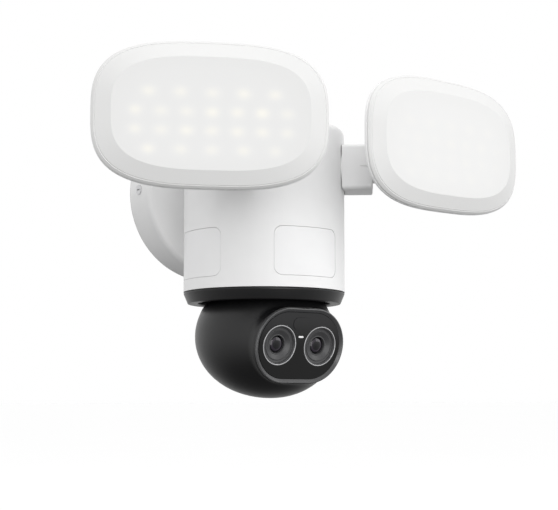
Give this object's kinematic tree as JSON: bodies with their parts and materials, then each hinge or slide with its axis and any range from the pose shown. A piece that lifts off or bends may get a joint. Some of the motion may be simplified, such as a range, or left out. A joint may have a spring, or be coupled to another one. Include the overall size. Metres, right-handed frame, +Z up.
{
  "type": "floodlight security camera",
  "caption": "Wall-mounted security camera: a dual-lens ball that pans and tilts under a round housing, with hinged LED floodlight heads on side arms.",
  "frame": {"origin": "centre of the wall face, where the round wall base meets the wall", "axes": "-Y out of the wall to the front, +X to the right as seen from the front, +Z up; the wall is the plane y = 0"},
  "size_m": [0.2989, 0.1921, 0.2011],
  "materials": {
    "white_shell": "fine matt white moulded ASA",
    "white_cap": "matt white",
    "window_lens": "thin satin white HDPE, lets infrared through",
    "diffuser_plastic": "satin opal polycarbonate",
    "black_shell": "satin black moulded plastic",
    "black_gloss": "high-gloss black",
    "dark_grey_trim": "glossy dark grey bezel",
    "silver_ring": "fine turned light-grey ring",
    "lens_black": "blackened lens barrel with light-trap steps",
    "optical_glass": "coated dark optical glass",
    "white_light": "white light pipe",
    "steel": "zinc-plated steel",
    "screw_steel": "stainless screws",
    "seal_rubber": "black silicone",
    "grey_rubber": "grey silicone",
    "acetal": "natural acetal",
    "inner_plastic": "glass-filled nylon",
    "circuit_board": "green solder mask",
    "led_board_white": "white solder mask on aluminium",
    "led_phosphor": "yellow phosphor",
    "heat_sink_metal": "extruded aluminium",
    "motor_metal": "plated motor can",
    "copper_strip": "antenna laminate"
  },
  "bodies": {
    "main": {"arm_seals": "seal_rubber", "base_gasket": "grey_rubber", "base_screws": "screw_steel", "board_spacers": "steel", "deck_plate": "inner_plastic", "main_board": "circuit_board", "main_housing": "white_shell", "pan_bearing": "acetal", "pan_motor": "motor_metal", "pir_sensors": "motor_metal", "pir_windows": "window_lens", "power_board": "circuit_board", "speaker": "inner_plastic", "terminal_block": "acetal", "top_cap": "white_cap", "wall_base": "white_shell", "wall_bracket": "steel", "wifi_antennas": "copper_strip"},
    "pan": {"pan_turntable": "inner_plastic", "pan_gear": "acetal", "pan_retainer": "steel", "pan_skirt": "black_shell", "tilt_fork": "inner_plastic", "tilt_pins": "steel", "tilt_motor": "motor_metal"},
    "pan_pinion": {"pan_pinion": "acetal"},
    "ball": {"ball_front_shell": "black_shell", "ball_rear_cover": "black_shell", "card_cover": "black_shell", "cover_screws": "screw_steel", "card_cover_gasket": "seal_rubber", "service_board": "circuit_board", "memory_card": "inner_plastic", "face_bezel": "dark_grey_trim", "face_glass": "black_gloss", "light_sensor_window": "black_gloss", "status_light": "white_light", "lens_rings": "silver_ring", "lens_barrels": "lens_black", "lens_glasses": "optical_glass", "camera_board": "circuit_board", "tilt_gear": "acetal"},
    "tilt_pinion": {"tilt_pinion": "acetal"},
    "reset_button": {"reset_button": "acetal"},
    "arm_left": {"arm_left": "white_shell"},
    "head_left": {"head_shell_left": "white_shell", "head_hinge_pin_left": "steel", "head_gasket_left": "grey_rubber", "diffuser_left": "diffuser_plastic", "led_board_left": "led_board_white", "leds_left": "led_phosphor", "heat_sink_left": "heat_sink_metal"},
    "arm_right": {"arm_right": "white_shell"},
    "head_right": {"head_shell_right": "white_shell", "head_hinge_pin_right": "steel", "head_gasket_right": "grey_rubber", "diffuser_right": "diffuser_plastic", "led_board_right": "led_board_white", "leds_right": "led_phosphor", "heat_sink_right": "heat_sink_metal"}
  },
  "joints": [
    {"name": "camera_pan", "type": "hinge", "parent": "main", "child": "pan", "pos_m": [0, -0.0791, -0.0713], "axis": [0, 0, 1], "range_deg": [-178.5, 171.5]},
    {"name": "pan_pinion_turn", "type": "hinge", "parent": "main", "child": "pan_pinion", "pos_m": [0, -0.0455, -0.046], "axis": [0, 0, 1], "continuous": true},
    {"name": "camera_tilt", "type": "hinge", "parent": "pan", "child": "ball", "pos_m": [0.0001, -0.0808, -0.1003], "axis": [0.9981, 0.061, 0], "range_deg": [-8, 38]},
    {"name": "tilt_pinion_turn", "type": "hinge", "parent": "pan", "child": "tilt_pinion", "pos_m": [0.0001, -0.0808, -0.0811], "axis": [0.9981, 0.061, 0], "continuous": true},
    {"name": "reset_button_press", "type": "slide", "parent": "ball", "child": "reset_button", "axis": [0.0597, -0.9763, -0.2079], "range_m": [0, 0.0006], "stiffness_N_per_m": 300},
    {"name": "left_arm_swivel", "type": "hinge", "parent": "main", "child": "arm_left", "pos_m": [-0.04214, -0.11108, 0.00875], "axis": [0.7965, 0.6046, 0], "range_deg": [-35, 35]},
    {"name": "left_head_turn", "type": "hinge", "parent": "arm_left", "child": "head_left", "pos_m": [-0.07822, -0.13847, 0.01175], "axis": [0, 0, 1], "range_deg": [-31, 30]},
    {"name": "right_arm_swivel", "type": "hinge", "parent": "main", "child": "arm_right", "pos_m": [0.04214, -0.11108, 0.00875], "axis": [0.7965, -0.6046, 0], "range_deg": [-35, 35]},
    {"name": "right_head_turn", "type": "hinge", "parent": "arm_right", "child": "head_right", "pos_m": [0.07822, -0.13847, 0.01175], "axis": [0, 0, 1], "range_deg": [-12, 50]}
  ],
  "couplings": [
    {"joint": "pan_pinion_turn", "follows": "camera_pan", "ratio": -6},
    {"joint": "tilt_pinion_turn", "follows": "camera_tilt", "ratio": -3}
  ]
}
